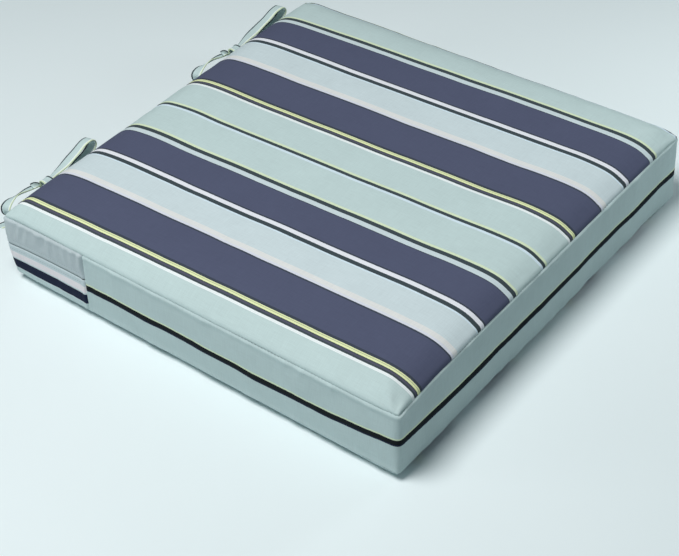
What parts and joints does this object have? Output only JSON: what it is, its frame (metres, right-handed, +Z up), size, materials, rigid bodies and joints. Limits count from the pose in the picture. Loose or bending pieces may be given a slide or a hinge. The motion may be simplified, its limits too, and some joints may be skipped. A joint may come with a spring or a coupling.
{
  "type": "chair seat pad",
  "caption": "Square box-edge chair seat pad with a striped zip-off cover, foam core and rear fabric ties knotted in bows.",
  "frame": {"origin": "centre of the flat underside, on the surface the pad lies on", "axes": "+X towards the sitter's right, +Y towards the rear edge with the zip and ties, +Z up"},
  "size_m": [0.5009, 0.5253, 0.1],
  "materials": {
    "striped_fabric": "plain-weave outdoor polyester, front-to-back stripes in navy, aqua and light blue",
    "boxing_fabric": "plain-weave outdoor polyester, aqua with one charcoal stripe line",
    "tie_fabric": "folded and stitched strap of the cover cloth, aqua with dark and lime edges",
    "zip_tape": "woven polyester tape, matte",
    "zip_coil": "moulded polyester coil, satin",
    "zip_metal": "nickel-grey die-cast zinc, satin",
    "foam": "open-cell polyurethane foam, cream",
    "fibre_fill": "bonded white polyester batting"
  },
  "bodies": {
    "cushion": {"foam_core": "foam", "batting_top": "fibre_fill", "batting_bottom": "fibre_fill", "top_panel": "striped_fabric", "bottom_panel": "striped_fabric", "front_boxing": "boxing_fabric", "rear_boxing_upper": "boxing_fabric", "rear_boxing_lower": "boxing_fabric", "zip_tape_upper": "zip_tape", "zip_tape_lower": "zip_tape", "zip_coil_upper": "zip_coil", "zip_coil_lower": "zip_coil", "zip_stop_left": "zip_metal", "zip_stop_right": "zip_metal"},
    "slider": {"zip_slider": "zip_metal"},
    "pull": {"zip_pull": "zip_metal"},
    "tie_left": {"tie_left_a": "tie_fabric", "tie_left_b": "tie_fabric"},
    "tie_right": {"tie_right_a": "tie_fabric", "tie_right_b": "tie_fabric"}
  },
  "joints": [
    {"name": "zip_slide", "type": "slide", "parent": "cushion", "child": "slider", "axis": [-1, 0, 0], "range_m": [0, 0.41]},
    {"name": "pull_flip", "type": "hinge", "parent": "slider", "child": "pull", "pos_m": [0.205, 0.2568, 0.0515], "axis": [0, 0, -1], "range_deg": [0, 180]},
    {"name": "tie_left_lift", "type": "hinge", "parent": "cushion", "child": "tie_left", "pos_m": [-0.183, 0.254, 0.084], "axis": [1, 0, 0], "range_deg": [0, 60]},
    {"name": "tie_right_lift", "type": "hinge", "parent": "cushion", "child": "tie_right", "pos_m": [0.121, 0.254, 0.084], "axis": [1, 0, 0], "range_deg": [0, 60]}
  ]
}
